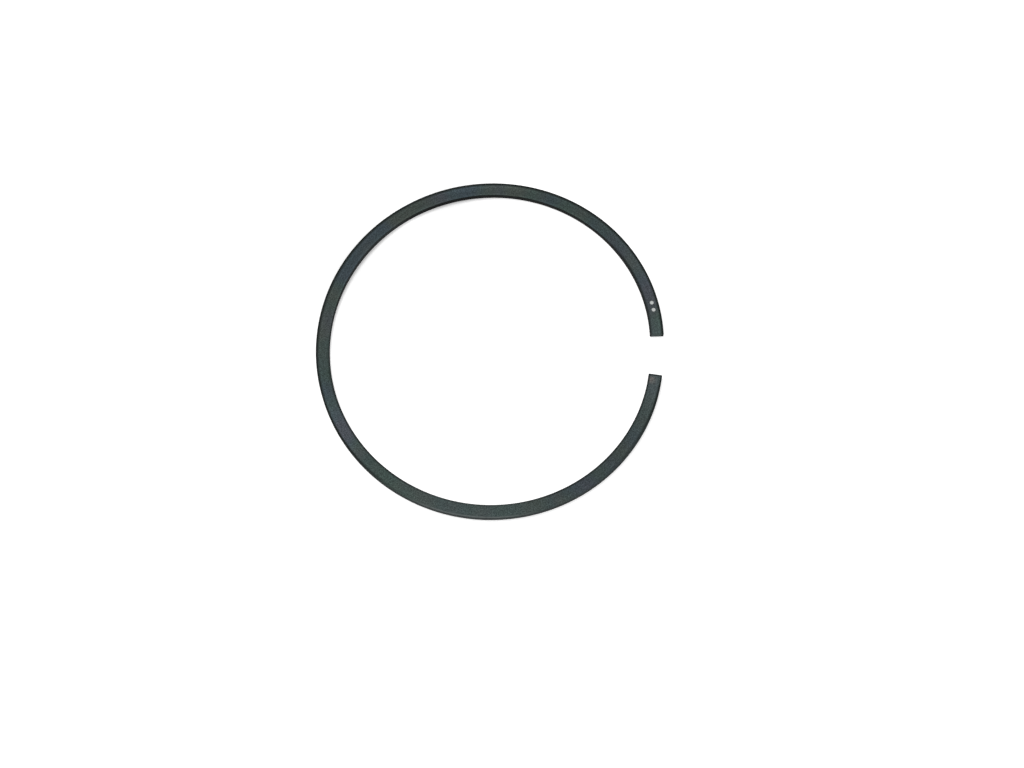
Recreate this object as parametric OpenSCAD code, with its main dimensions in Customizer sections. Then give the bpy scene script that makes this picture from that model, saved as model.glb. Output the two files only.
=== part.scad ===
// Second compression ring of a small engine, drawn as it lies free with its ends sprung apart.
// Millimetres. The ring lies flat on Z = 0 with its top side up and its gap toward +X.
// The origin is the middle of its outline on the lower side.

/* [Fit in the engine] */
// Diameter of the cylinder bore that the ring closes into
bore_d = 57; // [50:0.5:66]
// Gap left between the ends when the ring is closed in the bore
closed_gap = 0.3; // [0.15:0.05:0.6]
// Gap between the ends when the ring lies free
free_gap = 7.1; // [5:0.1:9]

/* [Section] */
// Thickness from the inner wall to the running face
radial_t = 2.3; // [1.9:0.05:2.7]
// Height between the two side faces
axial_h = 1.2; // [1:0.05:1.6]
// Slope of the running face in degrees, widest at the lower edge
face_taper = 1; // [0.5:0.1:2]
// Chamfer on the two edges of the running face
outer_chamfer = 0.06; // [0.04:0.01:0.14]
// Chamfer on the two edges of the inner wall
inner_chamfer = 0.1; // [0.06:0.01:0.24]
// Edge break around each end face
end_break = 0.06; // [0.03:0.01:0.12]

/* [Top side mark] */
// Number of round dimples that show which side is up
dots = 2; // [1:1:3]
// Diameter of a dimple at the face
dot_d = 0.8; // [0.5:0.05:1]
// Depth of a dimple
dot_depth = 0.12; // [0.06:0.01:0.2]
// Distance between the middles of two dimples
dot_pitch = 1.3; // [1.1:0.05:1.6]
// Distance along the ring from its end to the middle of the row of dimples
dots_from_end = 5.1; // [4:0.1:8]

/* [Hidden] */

$fn = 180;
dot_fn = 36;
// Turn between two joints of the arc chain
joint_step = 30;
arcs = 180 / joint_step;
deg = 180 / PI;

// The ring keeps the length of its neutral line, closed or free
neutral_r = (bore_d - radial_t) / 2;
closed_half = 180 - deg * closed_gap / (2 * neutral_r);

// An evenly pressed ring is bent by a moment that falls as 1 + cos from its back to its ends.
// Let go, it straightens by the same law, and this share of curvature opens the free gap.
first_ease = (free_gap - closed_gap) / (3 * PI * neutral_r);
// Arcs in place of a steady change of curvature would leave the gap this share too small
chain_loss = pow(joint_step / deg, 2) / 36;
ease = first_ease * (1 - 5 / 6 * first_ease + chain_loss);

// Angles and radii are rounded, so that two arcs use the very same numbers at their joint
fine_unit = 10000;
coarse_unit = 1000;
function tidy(v) = round(v * fine_unit) / fine_unit;

// How far the free ring has turned at a point of the closed circle, and the way back
function turned(a) = a - ease * (a + deg * sin(a));
function untwist(t, a = 0, rounds = 10) =
    rounds == 0 ? a : untwist(t, t + ease * (a + deg * sin(a)), rounds - 1);

end_turn = tidy(turned(closed_half));
function joint(i) = i < arcs ? i * joint_step : end_turn;

// Each arc is as long as its share of the closed circle
function arc_r(i) =
    tidy(neutral_r * (untwist(joint(i + 1)) - untwist(joint(i))) / (joint(i + 1) - joint(i)));

// Step from the centre of one arc to the centre of the next, along the normal at their joint
function centre_step(i) =
    (arc_r(i - 1) - arc_r(i)) * [cos(180 - joint(i)), sin(180 - joint(i)), 0];
function centre(i) = i == 0 ? [0, 0, 0] : centre(i - 1) + centre_step(i);

last = arcs - 1;
back_x = -(arc_r(0) + radial_t / 2);
end_x = centre(last).x + (arc_r(last) + radial_t / 2) * cos(180 - end_turn);
middle_x = tidy((back_x + end_x) / 2);

ring_color = [0.27, 0.31, 0.31];

// Moves by a coarse and a fine step, so that no digit of the offset is lost
module move_exactly(v) {
    coarse = [for (c = v) round(c * coarse_unit) / coarse_unit];
    translate(coarse) translate(v - coarse) children();
}

// Cross-section, with the radius of its neutral line given
module section(r) {
    inner = -radial_t / 2;
    outer = radial_t / 2;
    slope = tan(face_taper);
    translate([r, 0])
        polygon([
            [inner + inner_chamfer, 0],
            [outer - outer_chamfer, 0],
            [outer - slope * outer_chamfer, outer_chamfer],
            [outer - slope * (axial_h - outer_chamfer), axial_h - outer_chamfer],
            [outer - slope * axial_h - outer_chamfer, axial_h],
            [inner + inner_chamfer, axial_h],
            [inner, axial_h - inner_chamfer],
            [inner, inner_chamfer],
        ]);
}

// Arc between two turns from the back, about its own centre
module arc(i, from, to) {
    rotate_extrude(start = 180 - to, angle = to - from) section(arc_r(i));
}

// One side of the ring, from the end of the back arc on: each arc carries the next
module side(i = 1) {
    move_exactly(centre_step(i)) {
        arc(i, joint(i), joint(i + 1));
        if (i < last) side(i + 1);
    }
}

// Puts what follows on the neutral line of the last arc, a given length from the end
module from_end(length) {
    r = arc_r(last);
    translate(centre(last))
        rotate([0, 0, 180 - end_turn + deg * length / r])
        translate([r, 0, 0])
        children();
}

// Square bars that lie slantwise across the four edges of an end face and break them
module end_bars() {
    bar = 4 * end_break;
    out = bar / 2 - end_break / sqrt(2);
    for (wall = [-1, 1])
        translate([wall * radial_t / 2, 0, axial_h / 2])
            rotate([0, 0, 45 * wall])
            translate([0, -out, 0])
            cube([bar, bar, 2 * axial_h], center = true);
    for (side = [-1, 1])
        translate([0, 0, (1 + side) * axial_h / 2])
            rotate([-45 * side, 0, 0])
            translate([0, -out, 0])
            cube([2 * radial_t, bar, bar], center = true);
}

// Shallow round dimples in a row along the top side
module dot_row() {
    ball_r = (dot_d * dot_d / 4 + dot_depth * dot_depth) / (2 * dot_depth);
    face_mid = (inner_chamfer - outer_chamfer) / 2;
    for (i = [0 : dots - 1])
        from_end(dots_from_end + (i - (dots - 1) / 2) * dot_pitch)
            translate([face_mid, 0, axial_h + ball_r - dot_depth])
            sphere(r = ball_r, $fn = dot_fn);
}

module piston_ring() {
    color(ring_color)
        translate([-middle_x, 0, 0])
        difference() {
            union() {
                arc(0, -joint(1), joint(1));
                side();
                mirror([0, 1, 0]) side();
            }
            from_end(0) end_bars();
            mirror([0, 1, 0]) from_end(0) end_bars();
            dot_row();
        }
}

piston_ring();
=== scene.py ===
"""Looks of a free piston ring: dark phosphate on machined iron, lying on a white table."""
from math import cos, pi, radians, sin, tan

import bpy
import numpy as np
from mathutils import Matrix, Vector


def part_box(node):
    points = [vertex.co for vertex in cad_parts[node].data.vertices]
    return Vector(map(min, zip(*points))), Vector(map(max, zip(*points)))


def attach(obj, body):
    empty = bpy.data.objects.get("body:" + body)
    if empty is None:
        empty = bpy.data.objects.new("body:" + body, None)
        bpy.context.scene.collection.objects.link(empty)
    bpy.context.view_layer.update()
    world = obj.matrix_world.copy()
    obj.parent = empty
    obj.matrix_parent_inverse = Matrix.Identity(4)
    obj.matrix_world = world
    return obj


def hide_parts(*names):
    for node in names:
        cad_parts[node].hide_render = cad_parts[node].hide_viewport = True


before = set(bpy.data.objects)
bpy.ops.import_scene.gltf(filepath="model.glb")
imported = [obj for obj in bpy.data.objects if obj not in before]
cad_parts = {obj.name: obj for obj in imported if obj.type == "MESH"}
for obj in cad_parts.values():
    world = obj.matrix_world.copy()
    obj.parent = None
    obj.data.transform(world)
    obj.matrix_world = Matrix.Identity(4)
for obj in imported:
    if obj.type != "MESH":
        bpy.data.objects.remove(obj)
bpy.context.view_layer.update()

RING = "piston_ring"
MM = 0.001
low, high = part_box(RING)

# The ring's sizes in millimetres, as it is drawn
BORE_D = 57.0
CLOSED_GAP = 0.3
FREE_GAP = 7.1
RADIAL_T = 2.3
AXIAL_H = (high.z - low.z) / MM
FACE_TAPER = radians(1.0)
OUTER_CHAMFER = 0.06
INNER_CHAMFER = 0.1
END_BREAK = 0.06
DOTS = 2
DOT_D = 0.8
DOT_DEPTH = 0.12
DOT_PITCH = 1.3
DOTS_FROM_END = 5.1

HALF_T = RADIAL_T / 2
NEUTRAL_R = (BORE_D - RADIAL_T) / 2
CLOSED_HALF = pi - CLOSED_GAP / (2 * NEUTRAL_R)
LENGTH = 2 * NEUTRAL_R * CLOSED_HALF

# Feed marks of the turned running face
FEED = 0.15
FEED_DEPTH = 0.004

# The fine mesh is drawn smaller by this share, so that it stays inside the ring it stands for
INSET = 0.0002

# Mesh steps in millimetres
STEP = 0.4
FINE_STEP = 0.05
FEED_STEP = FEED / 6

# A softened edge: its points, and how many times the chamfer it reaches along each face
EDGE_POINTS = 7
CHAMFER_REACH = 1.25

# Points that the free line is summed from, an odd number so that one lies at its middle
LINE_POINTS = 20001

# A point this near the top, in millimetres, lies on the upper side
LEVEL = 1e-6

# Which face a point lies on, for the finish
RUNNING_FACE = 1
SIDE_FACE = 0
INNER_WALL = -1

# Strips that the ring is unwrapped into, and the margin around them in millimetres
STRIPS = 5
STRIP_MARGIN = 0.3

# Camera: where its axis meets the table, and how it stands to that point
AIM = Vector((4.17, -6.2, 0.0)) * MM
CAMERA_DISTANCE = 298.5 * MM
CAMERA_ELEVATION = radians(71.71)
CAMERA_TURN = radians(4.9)
CAMERA_ROLL = radians(1.61)
LENS_MM = 62.78
SENSOR_MM = 36.0
CLIP_START = 10.0 * MM

# Table and light
TABLE_SIZE = 3.0
TABLE_DROP = 0.02 * MM
TABLE_WHITE = 0.95
TABLE_GLOW = 0.48
SKY = 0.70
KEY_SIZE = 0.24
KEY_PLACE = Vector((-0.19, 0.15, 0.66))
KEY_POWER = 1.8

# Places where the table glows less, so that the ring's shadow shows, and how far each reaches
SHADED_GLOW = 0.14
SHADED_PLACES = (
    (Vector((-23.0, 14.0, 0.0)) * MM, 20.0 * MM),
    (Vector((-8.0, 25.0, 0.0)) * MM, 13.0 * MM),
)

# Colours of the finish
SLATE = (0.046, 0.061, 0.061)
TEAL_GREY = (0.042, 0.061, 0.061)
WARM_GREY = (0.052, 0.061, 0.061)
EDGE_BLACK = (0.010, 0.014, 0.013)
INNER_BLACK = (0.004, 0.005, 0.005)
# Inner wall with painted light, for the left arc
INNER_LIT_GREY = (0.015, 0.018, 0.018)
RUNNING_BLACK = (0.020, 0.025, 0.025)
# Running face with painted light, for the front
RUNNING_LIT_GREY = (0.034, 0.041, 0.041)
# Painted highlight on the front rim of the upper side
RIM_HIGHLIGHT = (0.110, 0.124, 0.124)
TIP_BROWN = (0.104, 0.098, 0.094)
BARE_IRON = (0.50, 0.52, 0.51)

# What the coat is multiplied by where it drifts to green and to blue
GREEN_CAST = (1.00, 1.03, 0.92)
BLUE_CAST = (1.00, 0.955, 1.12)

# Arcs of the finish, by the share of the way from the marked end to the plain one:
# where each starts, is full, starts to fade and ends
BACK = (0.19, 0.235, 0.285, 0.31)
# Arc of the painted light on the inner wall
LEFT = (0.33, 0.36, 0.42, 0.46)
FRONT = (0.66, 0.73, 0.79, 0.84)
INNER_CLEAR = (0.07, 0.15, 0.44, 0.58)
OUTER_CLEAR = (0.60, 0.72, 0.82, 1.02)
OUTER_THIN = (0.54, 0.58, 0.63, 0.67)
# Arc of the painted highlight on the rim
RIM_HIGHLIGHT_ARC = (0.685, 0.72, 0.785, 0.82)

# Such arcs on which the coat is painted lighter or darker, each with how much lighter it is: painted
# shade on the far arc and at the lower right, painted light at the near left and the front, and lighter
# coat near both ends
COAT_SHADES = (
    ((-0.20, -0.10, 0.008, 0.030), 0.25),
    ((0.02, 0.04, 0.08, 0.10), 0.08),
    ((0.07, 0.15, 0.40, 0.50), -0.10),
    ((0.55, 0.58, 0.605, 0.65), 0.23),
    ((0.61, 0.69, 0.78, 0.84), 0.14),
    ((0.84, 0.87, 0.91, 0.94), -0.07),
    ((0.95, 0.985, 1.10, 1.20), 0.25),
)

# Noises of the finish: how fine each is per millimetre, or along the ring, across it and up it
PATCH_FINE = 2.0
CLOUD_FINE = 1.8
GRAIN_FINE = 5.0
WANDER_FINE = (1.2, 3.0, 3.0)
WARM_FINE = (0.22, 0.12, 0.2)
BLUE_FINE = (0.18, 0.12, 0.2)
STREAK_FINE = (0.25, 9.0, 9.0)
TURNED_FINE = (0.05, 3.0, 4.0)
# Noise that breaks up the painted rim highlight
RIM_HIGHLIGHT_FINE = (0.8, 2.0, 2.0)

# Detail and roughness of the noises that have their own
DRIFT_DETAIL = 1.0
LINE_DETAIL = 3.0
LINE_ROUGH = 0.6
GRAIN_DETAIL = 4.0
GRAIN_ROUGH = 0.65

# Width of the middle of a noise that is spread over its whole effect
SPREAD = 0.4
DRIFT_SPREAD = 0.36
GRAIN_SPREAD = 0.5

# Drift of the coat: what is left of it at the front and at the plain end,
# and between which distances from that end it grows to all of it
FRONT_BLUE = 0.4
FRONT_DRIFT = 0.5
END_DRIFT = 0.3
END_CALM = (4.0, 25.0)

# Brown-grey patch: its arc in millimetres from the plain end, where it starts and is full across
# the ring, how ragged it is in millimetres, and its share
PATCH_ALONG = (0.5, 1.2, 1.4, 2.4)
PATCH_ACROSS = (0.7, -0.9)
PATCH_RAGGED = 0.6
PATCH_SHARE = 0.9

# How uneven the lines beside the walls are, in millimetres
WANDER = 0.16

# Dark lines: where each starts and is full, in millimetres from its wall, or from its own middle
# for the one at the plain end. The outer one is wider where the inner one is clear, and less wide
# on its thin arc and near the plain end
OUTER_LINE = 0.50
OUTER_LINE_WIDE = 0.60
OUTER_LINE_FULL = 0.14
THIN_LESS = 0.14
TIP_LESS = 0.18
TIP_REACH = (2.2, 1.0)
INNER_LINE = (0.40, 0.06)
END_LINE_MIDDLE = 0.17
END_LINE = (0.16, 0.05)

# Share of the inner line and of the one at the plain end, and what is left of the inner one
# at the front
LINE_SHARE = 0.8
FRONT_LINE = 0.5

# Light lines, given the same way: one beside the inner wall where that is clear of its dark line,
# and one in from the outer wall
INNER_LIGHT = (0.42, 0.16)
OUTER_LIGHT_MIDDLE = 0.64
OUTER_LIGHT = (0.24, 0.05)
OUTER_LIGHT_SHARE = 0.5
LIGHT_SHADE = 1.2

# At the back the coat grows lighter across the ring, from and to these offsets, by so much
BACK_ACROSS = (-0.7, 0.8)
BACK_LIGHTER = 0.26

# Range of shades that the clouds, the grain and the turned lines have
CLOUD_SHADES = (0.91, 1.09)
GRAIN_SHADES = (0.30, 1.70)
TURNED_SHADES = (0.75, 1.25)

# Where the finish of the side faces gives way to that of the running face and the inner wall
RUNNING_BLEND = (0.2, 0.8)
INNER_BLEND = (-0.2, -0.7)

# Painted highlight on the rim of the upper side at the front: its arc in millimetres from the outer
# wall, how far below the upper side it starts and is full, and between which values of its noise it
# grows from the least share to all of it
RIM_HIGHLIGHT_REACH = (0.24, 0.14, 0.03, -0.05)
RIM_HIGHLIGHT_BELOW = (0.12, 0.03)
RIM_HIGHLIGHT_NOISE = (0.30, 0.60)
RIM_HIGHLIGHT_LEAST = 0.5

# Where bare iron starts and is full in a dimple, from 0 on its rim to 1 in its middle
BARE = (0.10, 0.30)

# Surface of the coat
ROUGHNESS = (0.62, 0.78)
SPECULAR = 0.06
STREAK_RELIEF = 0.6
RELIEF = 0.012 * MM


def make_camera():
    data = bpy.data.cameras.new("camera")
    data.lens = LENS_MM
    data.sensor_width = SENSOR_MM
    data.clip_start = CLIP_START
    camera = bpy.data.objects.new("camera", data)
    bpy.context.scene.collection.objects.link(camera)
    ahead = Vector((
        -sin(CAMERA_TURN) * cos(CAMERA_ELEVATION),
        cos(CAMERA_TURN) * cos(CAMERA_ELEVATION),
        -sin(CAMERA_ELEVATION),
    ))
    right = Vector((cos(CAMERA_TURN), sin(CAMERA_TURN), 0.0))
    up = right.cross(ahead)
    axes = Matrix((right, up, -ahead)).transposed()
    axes = axes @ Matrix.Rotation(-CAMERA_ROLL, 3, "Z")
    camera.matrix_world = Matrix.Translation(AIM - CAMERA_DISTANCE * ahead) @ axes.to_4x4()
    bpy.context.scene.camera = camera


class Nodes:
    """Short calls for the shader nodes used below; a value is a number, a tuple or a socket."""

    def __init__(self, tree):
        self.tree = tree

    def put(self, kind, values, **settings):
        made = self.tree.nodes.new(kind)
        for name, value in settings.items():
            setattr(made, name, value)
        for name, value in values.items():
            if isinstance(value, bpy.types.NodeSocket):
                self.tree.links.new(value, made.inputs[name])
            else:
                made.inputs[name].default_value = value
        return made

    def math(self, operation, a, b=0.0):
        return self.put("ShaderNodeMath", {0: a, 1: b}, operation=operation).outputs[0]

    def less(self, value, *parts):
        for part in parts:
            value = self.math("SUBTRACT", value, part)
        return value

    def times(self, value, *factors):
        for factor in factors:
            value = self.math("MULTIPLY", value, factor)
        return value

    def away(self, value, middle):
        """Distance of value from middle."""
        return self.math("ABSOLUTE", self.less(value, middle))

    def span(self, value, start, end, first=0.0, last=1.0):
        """Eases from first to last while value goes from start to end."""
        values = {"Value": value, "From Min": start, "From Max": end, "To Min": first, "To Max": last}
        made = self.put("ShaderNodeMapRange", values, interpolation_type="SMOOTHSTEP")
        return made.outputs["Result"]

    def between(self, share, first, last):
        """Eases from first to last while share goes from 0 to 1."""
        return self.span(share, 0.0, 1.0, first, last)

    def spread(self, noise, width, first=0.0, last=1.0):
        """Eases from first to last over this width at the middle of a noise."""
        return self.span(noise, 0.5 - width / 2, 0.5 + width / 2, first, last)

    def arc(self, way, start, full, fade, end):
        """Eases from 0 to 1 between start and full, and back to 0 between fade and end."""
        return self.times(self.span(way, start, full), self.span(way, end, fade))

    def mix(self, share, a, b):
        """Colour between a and b."""
        a = (*a, 1.0) if isinstance(a, tuple) else a
        b = (*b, 1.0) if isinstance(b, tuple) else b
        made = self.put("ShaderNodeMix", {0: share, 6: a, 7: b}, data_type="RGBA")
        return made.outputs[2]

    def scaled(self, vector, factors):
        made = self.put("ShaderNodeVectorMath", {0: vector, 1: factors}, operation="MULTIPLY")
        return made.outputs[0]

    def noise(self, vector, scale, detail=2.0, roughness=0.5):
        values = {"Vector": vector, "Scale": scale, "Detail": detail, "Roughness": roughness}
        return self.put("ShaderNodeTexNoise", values).outputs[0]

    def stretched_noise(self, vector, factors, detail=2.0, roughness=0.5):
        """Noise that is finer in some directions than in others."""
        return self.noise(self.scaled(vector, factors), 1.0, detail, roughness)

    def attribute(self, name):
        return self.put("ShaderNodeAttribute", {}, attribute_name=name)

    def seen(self):
        """One on rays that show what they meet: from the camera, in gloss or through glass."""
        path = self.put("ShaderNodeLightPath", {})
        glossy = self.math("MAXIMUM", path.outputs["Is Glossy Ray"], path.outputs["Is Transmission Ray"])
        return self.math("MAXIMUM", path.outputs["Is Camera Ray"], glossy)


def make_table():
    mesh = bpy.data.meshes.new("table")
    half = TABLE_SIZE / 2
    corners = [(-half, -half), (half, -half), (half, half), (-half, half)]
    mesh.from_pydata([(x, y, low.z - TABLE_DROP) for x, y in corners], [], [(0, 1, 2, 3)])
    table = bpy.data.objects.new("table", mesh)
    bpy.context.scene.collection.objects.link(table)
    material = bpy.data.materials.new("table_white")
    material.use_nodes = True
    nodes = Nodes(material.node_tree)
    matte = material.node_tree.nodes["Principled BSDF"]
    matte.inputs["Base Color"].default_value = (TABLE_WHITE, TABLE_WHITE, TABLE_WHITE, 1)
    matte.inputs["Roughness"].default_value = 1.0
    matte.inputs["Specular IOR Level"].default_value = 0.0
    place = nodes.put("ShaderNodeTexCoord", {}).outputs["Object"]
    bright = TABLE_GLOW
    for middle, reach in SHADED_PLACES:
        away = nodes.put("ShaderNodeVectorMath", {0: place, 1: middle}, operation="DISTANCE")
        here = nodes.span(away.outputs["Value"], 0.0, reach, SHADED_GLOW, TABLE_GLOW)
        bright = nodes.math("MINIMUM", bright, here)
    strength = nodes.times(nodes.seen(), bright)
    glow = nodes.put("ShaderNodeEmission", {"Color": (1, 1, 1, 1), "Strength": strength})
    both = nodes.put("ShaderNodeAddShader", {0: matte.outputs[0], 1: glow.outputs[0]})
    out = material.node_tree.nodes["Material Output"]
    material.node_tree.links.new(both.outputs[0], out.inputs["Surface"])
    mesh.materials.append(material)


def make_light():
    world = bpy.data.worlds.new("studio")
    world.use_nodes = True
    nodes = Nodes(world.node_tree)
    background = world.node_tree.nodes["Background"]
    background.inputs["Color"].default_value = (1, 1, 1, 1)
    strength = nodes.between(nodes.seen(), SKY, 1.0)
    world.node_tree.links.new(strength, background.inputs["Strength"])
    bpy.context.scene.world = world
    data = bpy.data.lights.new("key", "AREA")
    data.size = KEY_SIZE
    data.energy = KEY_POWER
    key = bpy.data.objects.new("key", data)
    key.location = KEY_PLACE
    key.rotation_euler = (-KEY_PLACE).to_track_quat("-Z", "Y").to_euler()
    bpy.context.scene.collection.objects.link(key)


def free_line(lengths):
    """Points and outward normals of the free ring's neutral line, at lengths from its marked end.

    Let go, the ring straightens by a share that falls as 1 + cos from its back to its ends.
    """
    # Share that opens the free gap, to the second order
    first_ease = (FREE_GAP - CLOSED_GAP) / (3 * pi * NEUTRAL_R)
    ease = first_ease * (1 - 5 / 6 * first_ease)
    angle = np.linspace(-CLOSED_HALF, CLOSED_HALF, LINE_POINTS)
    turn = angle - ease * (angle + np.sin(angle))
    step = NEUTRAL_R * (angle[1] - angle[0])

    def summed(slope):
        return np.concatenate([[0.0], np.cumsum((slope[1:] + slope[:-1]) / 2 * step)])

    x, y = summed(np.sin(turn)), summed(np.cos(turn))
    middle = len(angle) // 2
    x += low.x / MM + HALF_T - x[middle]
    y -= y[middle]
    at = CLOSED_HALF - lengths / NEUTRAL_R
    there = np.interp(at, angle, turn)
    points = np.stack([np.interp(at, angle, x), np.interp(at, angle, y)], 1)
    return points, np.stack([-np.cos(there), np.sin(there)], 1)


def even(start, end, step):
    """Points between start and end at about this step, without the two themselves."""
    start, end = np.array(start), np.array(end)
    count = max(2, round(np.linalg.norm(end - start) / step))
    return [start + (end - start) * i / count for i in range(1, count)]


def section_corners():
    """Sharp corners of the section: radial offset from the neutral line, and height."""
    top = HALF_T - tan(FACE_TAPER) * AXIAL_H
    corners = ((-HALF_T, 0.0), (HALF_T, 0.0), (top, AXIAL_H), (-HALF_T, AXIAL_H))
    return [np.array(corner) for corner in corners]


def section_loop():
    """The section as a closed loop, counter-clockwise from the lower inner edge, edges softened.

    Each row holds a radial offset, a height and the face that the point lies on.
    """
    corners = section_corners()
    cuts = (INNER_CHAMFER, OUTER_CHAMFER, OUTER_CHAMFER, INNER_CHAMFER)
    # The faces after each corner, and the steps on them
    walls = (SIDE_FACE, RUNNING_FACE, SIDE_FACE, INNER_WALL)
    steps = (4 * FINE_STEP, FEED_STEP, FINE_STEP, 2 * FINE_STEP)
    # A flat conic through the middle of each chamfer, tangent to the two faces beside it
    weight = CHAMFER_REACH - 1
    ends = []
    loop = []
    for i, corner in enumerate(corners):
        back = corners[i - 1] - corner
        on = corners[(i + 1) % len(corners)] - corner
        reach = CHAMFER_REACH * cuts[i]
        before = corner + back / np.linalg.norm(back) * reach
        after = corner + on / np.linalg.norm(on) * reach
        ends.append((before, after))
    for i, corner in enumerate(corners):
        start, end = ends[i]
        for t in np.linspace(0, 1, EDGE_POINTS):
            a, b, c = (1 - t) ** 2, 2 * weight * t * (1 - t), t ** 2
            point = (a * start + b * corner + c * end) / (a + b + c)
            wall = (1 - t) * walls[i - 1] + t * walls[i]
            loop.append((*point, wall))
        face = even(end, ends[(i + 1) % len(corners)][0], steps[i])
        if walls[i] == RUNNING_FACE:
            for point in face:
                point[0] -= FEED_DEPTH * (1 - cos(2 * pi * point[1] / FEED)) / 2
        loop.extend((*point, walls[i]) for point in face)
    return np.array(loop)


def dot_places():
    """Middles of the dimples: length from the marked end, and radial offset."""
    offset = (INNER_CHAMFER - OUTER_CHAMFER) / 2
    return [(DOTS_FROM_END + (i - (DOTS - 1) / 2) * DOT_PITCH, offset) for i in range(DOTS)]


def row_lengths():
    """Lengths of the rows of points along the ring: closer together around the dimples."""
    reach = (DOTS - 1) / 2 * DOT_PITCH + DOT_D
    stops = [
        (END_BREAK, STEP),
        (DOTS_FROM_END - reach, FINE_STEP),
        (DOTS_FROM_END + reach, STEP),
        (LENGTH - END_BREAK, None),
    ]
    lengths = [END_BREAK, END_BREAK + FINE_STEP]
    for (start, step), (end, _) in zip(stops, stops[1:]):
        lengths += np.linspace(start, end, round((end - start) / step) + 1)[1:].tolist()
    return lengths[:-1] + [LENGTH - END_BREAK - FINE_STEP, LENGTH - END_BREAK]


def straight_ring(loop):
    """The straightened ring as rows of points: length, radial offset and height.

    Each end face has a row at its rim and one just inside it.
    """
    half = np.array([HALF_T, AXIAL_H / 2])
    middle = np.array([0.0, AXIAL_H / 2])
    rim = middle + (loop - middle) * (1 - END_BREAK / half)
    face = middle + (loop - middle) * (1 - 2 * END_BREAK / half)
    rows = [(0.0, face), (0.0, rim)]
    rows += [(length, loop) for length in row_lengths()]
    rows += [(LENGTH, rim), (LENGTH, face)]
    bar = np.empty((len(rows), len(loop), 3))
    for row, (length, outline) in zip(bar, rows):
        row[:, 0] = length
        row[:, 1:] = outline
    return bar


def sink_dimples(bar):
    """Sinks the dimples into the upper side of the straightened ring, as shallow bowls.

    Gives how deep in a dimple each point lies: 1 in its middle, 0 on its rim and outside it.
    """
    dot_r = DOT_D / 2
    ball_r = (dot_r ** 2 + DOT_DEPTH ** 2) / (2 * DOT_DEPTH)
    dot = np.zeros(bar.shape[:2])
    upper = bar[..., 2] > AXIAL_H - LEVEL
    for length, offset in dot_places():
        away = np.hypot(bar[..., 0] - length, bar[..., 1] - offset)
        depth = DOT_DEPTH - ball_r + np.sqrt(np.maximum(ball_r ** 2 - away ** 2, 0))
        sunk = upper & (away < dot_r)
        bar[..., 2][sunk] -= depth[sunk]
        dot = np.maximum(dot, np.where(upper, 1 - away / dot_r, 0))
    return dot


def make_ring():
    """The ring as one fine mesh, which keeps each point's place on the straightened ring."""
    section = section_loop()
    loop = section[:, :2]
    bar = straight_ring(loop)
    dot = sink_dimples(bar)
    along = bar[:, 0, 0]
    points, normals = free_line(along)
    place = np.empty_like(bar)
    place[..., :2] = (points[:, None, :] + normals[:, None, :] * bar[..., 1:2]) * (1 - INSET)
    place[..., 2] = bar[..., 2]

    # The end faces have the finish of the side faces
    wall = np.broadcast_to(section[:, 2], dot.shape).copy()
    wall[[0, 1, -2, -1]] = SIDE_FACE

    rows_n, loop_n = bar.shape[:2]
    index = np.arange(rows_n * loop_n).reshape(rows_n, loop_n)
    beside = np.roll(index, -1, 1)
    quads = np.stack([index[:-1], index[1:], beside[1:], beside[:-1]], 2).reshape(-1, 4)
    faces = quads.tolist() + [index[0].tolist(), index[-1][::-1].tolist()]

    mesh = bpy.data.meshes.new("phosphated_ring")
    mesh.from_pydata((place.reshape(-1, 3) * MM).tolist(), [], faces)
    mesh.shade_smooth()
    mesh.attributes.new("bar", "FLOAT_VECTOR", "POINT").data.foreach_set("vector", bar.ravel())
    for name, values in (("wall", wall), ("dot", dot)):
        mesh.attributes.new(name, "FLOAT", "POINT").data.foreach_set("value", values.ravel())
    lay_out(mesh, loop, along)
    mesh.validate()
    ring = bpy.data.objects.new("phosphated_ring", mesh)
    bpy.context.scene.collection.objects.link(ring)
    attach(ring, "root")
    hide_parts(RING)
    return ring


def lay_out(mesh, loop, along):
    """Unwraps the ring into strips that lie one above another, with the end faces on top."""
    around = np.concatenate([[0.0], np.cumsum(np.linalg.norm(np.roll(loop, -1, 0) - loop, axis=1))])
    strip = LENGTH / STRIPS
    height = around[-1] + STRIP_MARGIN
    width = strip + STEP + 2 * STRIP_MARGIN
    size = max(width, STRIPS * height + AXIAL_H + 3 * STRIP_MARGIN)
    rows_n, loop_n = len(along), len(loop)
    u_v = np.zeros((len(mesh.loops), 2))
    for face in mesh.polygons:
        row, place = divmod(face.vertices[0], loop_n)
        if face.loop_total < loop_n:
            here = min(int((along[row] + along[row + 1]) / 2 / strip), STRIPS - 1)
            us = along[[row, row + 1, row + 1, row]] - here * strip
            vs = around[[place, place, place + 1, place + 1]] + here * height
        else:
            last = row == rows_n - 1
            flat = np.array([loop[v % loop_n] for v in face.vertices])
            us = flat[:, 0] + HALF_T + (RADIAL_T + STRIP_MARGIN) * last
            vs = flat[:, 1] + STRIPS * height
        corners = np.stack([us, vs], 1) + STRIP_MARGIN
        u_v[face.loop_start:face.loop_start + face.loop_total] = corners / size
    mesh.uv_layers.new(name="OFBake").data.foreach_set("uv", u_v.ravel())


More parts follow.
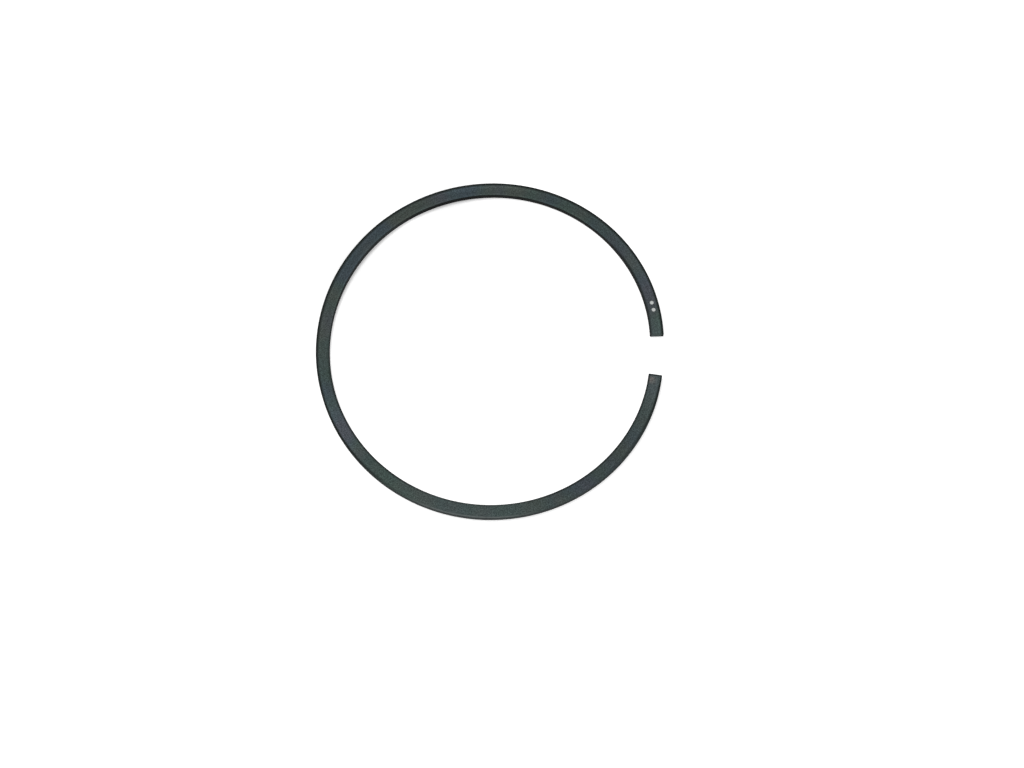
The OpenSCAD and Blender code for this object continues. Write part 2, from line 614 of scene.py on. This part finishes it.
class RingPlace:
    """Where a point lies on the straightened ring, in millimetres, as sockets for the finish."""

    def __init__(self, nodes):
        self.bar = nodes.attribute("bar").outputs["Vector"]
        self.wall = nodes.attribute("wall").outputs["Fac"]
        self.dot = nodes.attribute("dot").outputs["Fac"]
        self.along, self.across, self.height = nodes.put("ShaderNodeSeparateXYZ", {0: self.bar}).outputs
        self.to_plain_end = nodes.less(LENGTH, self.along)

        # Distances from the two walls, made a little uneven
        wander = nodes.times(nodes.stretched_noise(self.bar, WANDER_FINE), WANDER)
        self.to_outer = nodes.less(HALF_T, self.across, wander)
        self.to_inner = nodes.less(nodes.math("ADD", HALF_T, self.across), wander)

        # Share of the way along the ring, and the arcs that more than one part of the finish follows
        self.way = nodes.math("DIVIDE", self.along, LENGTH)
        self.front = nodes.arc(self.way, *FRONT)
        self.inner_clear = nodes.arc(self.way, *INNER_CLEAR)


def coat_color(nodes, at):
    """Slate that drifts from teal to warm and from green to blue along the ring.

    It drifts less near the plain end and at the front, where it is greener.
    """
    warm = nodes.spread(nodes.stretched_noise(at.bar, WARM_FINE, DRIFT_DETAIL), DRIFT_SPREAD)
    blue = nodes.spread(nodes.stretched_noise(at.bar, BLUE_FINE, DRIFT_DETAIL), DRIFT_SPREAD)
    blue = nodes.times(blue, nodes.between(at.front, 1.0, FRONT_BLUE))
    drifted = nodes.scaled(nodes.mix(warm, TEAL_GREY, WARM_GREY), nodes.mix(blue, GREEN_CAST, BLUE_CAST))
    share = nodes.span(at.to_plain_end, *END_CALM, END_DRIFT, 1.0)
    share = nodes.times(share, nodes.between(at.front, 1.0, FRONT_DRIFT))
    color = nodes.mix(share, SLATE, drifted)

    # Brown-grey patch at the plain end
    ragged = nodes.times(nodes.noise(at.bar, PATCH_FINE), PATCH_RAGGED)
    patch = nodes.arc(nodes.math("ADD", at.to_plain_end, ragged), *PATCH_ALONG)
    patch = nodes.times(patch, nodes.span(at.across, *PATCH_ACROSS), PATCH_SHARE)
    return nodes.mix(patch, color, TIP_BROWN)


def dark_lines(nodes, at):
    """Share of the dark lines on the side faces, beside the walls and at the plain end."""
    thinner = nodes.times(nodes.arc(at.way, *OUTER_THIN), THIN_LESS)
    tip = nodes.span(at.to_plain_end, *TIP_REACH, 0.0, TIP_LESS)
    reach = nodes.less(nodes.between(at.inner_clear, OUTER_LINE, OUTER_LINE_WIDE), tip, thinner)
    outer = nodes.span(at.to_outer, reach, OUTER_LINE_FULL)
    outer = nodes.times(outer, nodes.between(nodes.arc(at.way, *OUTER_CLEAR), 1.0, 0.0))
    inner = nodes.span(at.to_inner, *INNER_LINE)
    inner = nodes.times(inner, nodes.between(at.inner_clear, LINE_SHARE, 0.0))
    inner = nodes.times(inner, nodes.between(at.front, 1.0, FRONT_LINE))
    end = nodes.span(nodes.away(at.to_plain_end, END_LINE_MIDDLE), *END_LINE, 0.0, LINE_SHARE)
    return nodes.math("MAXIMUM", nodes.math("MAXIMUM", outer, inner), end)


def coat_shade(nodes, at, grain):
    """How light the coat is: painted light and shade by arc, beside the walls, in small clouds and in
    the grain.
    """
    shade = 1.0
    # Painted light and shade along the ring, by arc
    for arc, lighter in COAT_SHADES:
        shade = nodes.math("ADD", shade, nodes.times(nodes.arc(at.way, *arc), lighter))
    lighter = nodes.span(at.across, *BACK_ACROSS, 0.0, BACK_LIGHTER)
    shade = nodes.math("ADD", shade, nodes.times(nodes.arc(at.way, *BACK), lighter))
    inner = nodes.times(nodes.span(at.to_inner, *INNER_LIGHT), at.inner_clear)
    outer = nodes.away(at.to_outer, OUTER_LIGHT_MIDDLE)
    outer = nodes.span(outer, *OUTER_LIGHT, 0.0, OUTER_LIGHT_SHARE)
    lines = nodes.between(nodes.math("MAXIMUM", inner, outer), 1.0, LIGHT_SHADE)
    clouds = nodes.spread(nodes.noise(at.bar, CLOUD_FINE), SPREAD, *CLOUD_SHADES)
    return nodes.times(shade, lines, clouds, nodes.spread(grain, GRAIN_SPREAD, *GRAIN_SHADES))


def wall_colors(nodes, at):
    """Colours of the running face, with painted light at the front, and the inner wall, with painted
    light on the left.

    Both are darker than the side faces, with turned lines.
    """
    turned = nodes.stretched_noise(at.bar, TURNED_FINE, LINE_DETAIL, LINE_ROUGH)
    lines = nodes.spread(turned, SPREAD, *TURNED_SHADES)
    # Painted light on the running face at the front
    running = nodes.mix(at.front, RUNNING_BLACK, RUNNING_LIT_GREY)
    # Painted light on the inner wall on the left arc
    inner = nodes.mix(nodes.arc(at.way, *LEFT), INNER_BLACK, INNER_LIT_GREY)
    return nodes.scaled(running, lines), nodes.scaled(inner, lines)


def front_rim_highlight(nodes, at):
    """Share of the painted highlight on the rim of the upper side at the front, broken up by a noise."""
    rim = nodes.arc(at.to_outer, *RIM_HIGHLIGHT_REACH)
    start, full = RIM_HIGHLIGHT_BELOW
    upper = nodes.span(at.height, AXIAL_H - start, AXIAL_H - full)
    patchy = nodes.span(nodes.stretched_noise(at.bar, RIM_HIGHLIGHT_FINE), *RIM_HIGHLIGHT_NOISE, RIM_HIGHLIGHT_LEAST, 1.0)
    return nodes.times(rim, upper, patchy, nodes.arc(at.way, *RIM_HIGHLIGHT_ARC))


def make_finish(ring):
    material = bpy.data.materials.new("phosphate")
    material.use_nodes = True
    tree = material.node_tree
    nodes = Nodes(tree)
    shader = tree.nodes["Principled BSDF"]
    at = RingPlace(nodes)
    grain = nodes.noise(at.bar, GRAIN_FINE, GRAIN_DETAIL, GRAIN_ROUGH)
    streaks = nodes.stretched_noise(at.bar, STREAK_FINE, LINE_DETAIL, LINE_ROUGH)

    color = nodes.scaled(coat_color(nodes, at), coat_shade(nodes, at, grain))
    color = nodes.mix(dark_lines(nodes, at), color, EDGE_BLACK)
    running, inner = wall_colors(nodes, at)
    color = nodes.mix(nodes.span(at.wall, *RUNNING_BLEND), color, running)
    color = nodes.mix(nodes.span(at.wall, *INNER_BLEND), color, inner)
    # Painted highlight on the rim of the upper side at the front
    color = nodes.mix(front_rim_highlight(nodes, at), color, RIM_HIGHLIGHT)
    # Dimples through the coat to bare iron
    color = nodes.mix(nodes.span(at.dot, *BARE), color, BARE_IRON)
    tree.links.new(color, shader.inputs["Base Color"])

    tree.links.new(nodes.spread(grain, SPREAD, *ROUGHNESS), shader.inputs["Roughness"])
    shader.inputs["Specular IOR Level"].default_value = SPECULAR

    relief = nodes.math("ADD", grain, nodes.times(streaks, STREAK_RELIEF))
    bump = nodes.put("ShaderNodeBump", {"Strength": 1.0, "Distance": RELIEF, "Height": relief})
    tree.links.new(bump.outputs[0], shader.inputs["Normal"])
    ring.data.materials.append(material)


make_camera()
make_table()
make_light()
make_finish(make_ring())

scene = bpy.context.scene
scene.view_settings.view_transform = "Standard"
